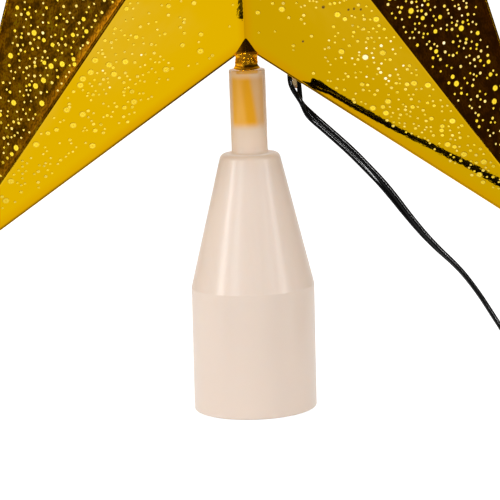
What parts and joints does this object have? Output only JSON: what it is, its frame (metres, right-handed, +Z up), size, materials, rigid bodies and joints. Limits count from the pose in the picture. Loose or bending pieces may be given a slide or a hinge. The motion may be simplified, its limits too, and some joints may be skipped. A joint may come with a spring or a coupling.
{
  "type": "lighted tree topper star",
  "caption": "Hollow five-armed gold star of two metallised shells with lamps inside, on a frosted socket for a tree's tip, with a thin flat cord to a small plug.",
  "frame": {"origin": "centre of the socket's open mouth, where the tree's tip goes in", "axes": "+Z up along the socket and peg, -Y the way the star's front looks, +X to the right in the picture"},
  "size_m": [0.2472, 0.11, 0.2713],
  "materials": {
    "frosted_socket": "satin, translucent",
    "gold_shell": "vacuum-metallised gold",
    "holder": "moulded",
    "lens": "clear epoxy",
    "steel": "plated",
    "cord_pvc": "glossy",
    "hot_glue": "clear, glossy",
    "tie": "matt",
    "soft_pvc": "satin",
    "plug_body": "satin",
    "contact": "gold-plated",
    "board": "solder resist",
    "chip": "matt"
  },
  "bodies": {
    "socket": {"tree_socket": "frosted_socket"},
    "star": {"front_shell": "gold_shell", "rear_shell": "gold_shell", "lamp_holders": "holder", "led_lenses": "lens", "led_leads": "steel", "lamp_cable": "cord_pvc", "wire_tails": "cord_pvc", "exit_glue": "hot_glue", "cord_lead": "cord_pvc", "cord_coil": "cord_pvc", "coil_tie": "tie", "cord_tail": "cord_pvc", "plug_relief": "soft_pvc", "plug_grip": "plug_body", "plug_shell": "steel", "plug_insert": "holder", "plug_contacts": "contact", "plug_board": "board", "plug_resistor": "chip"}
  },
  "joints": [
    {"name": "star_swivel", "type": "hinge", "parent": "socket", "child": "star", "pos_m": [0, 0, 0.077], "axis": [0, 0, 1], "continuous": true}
  ]
}
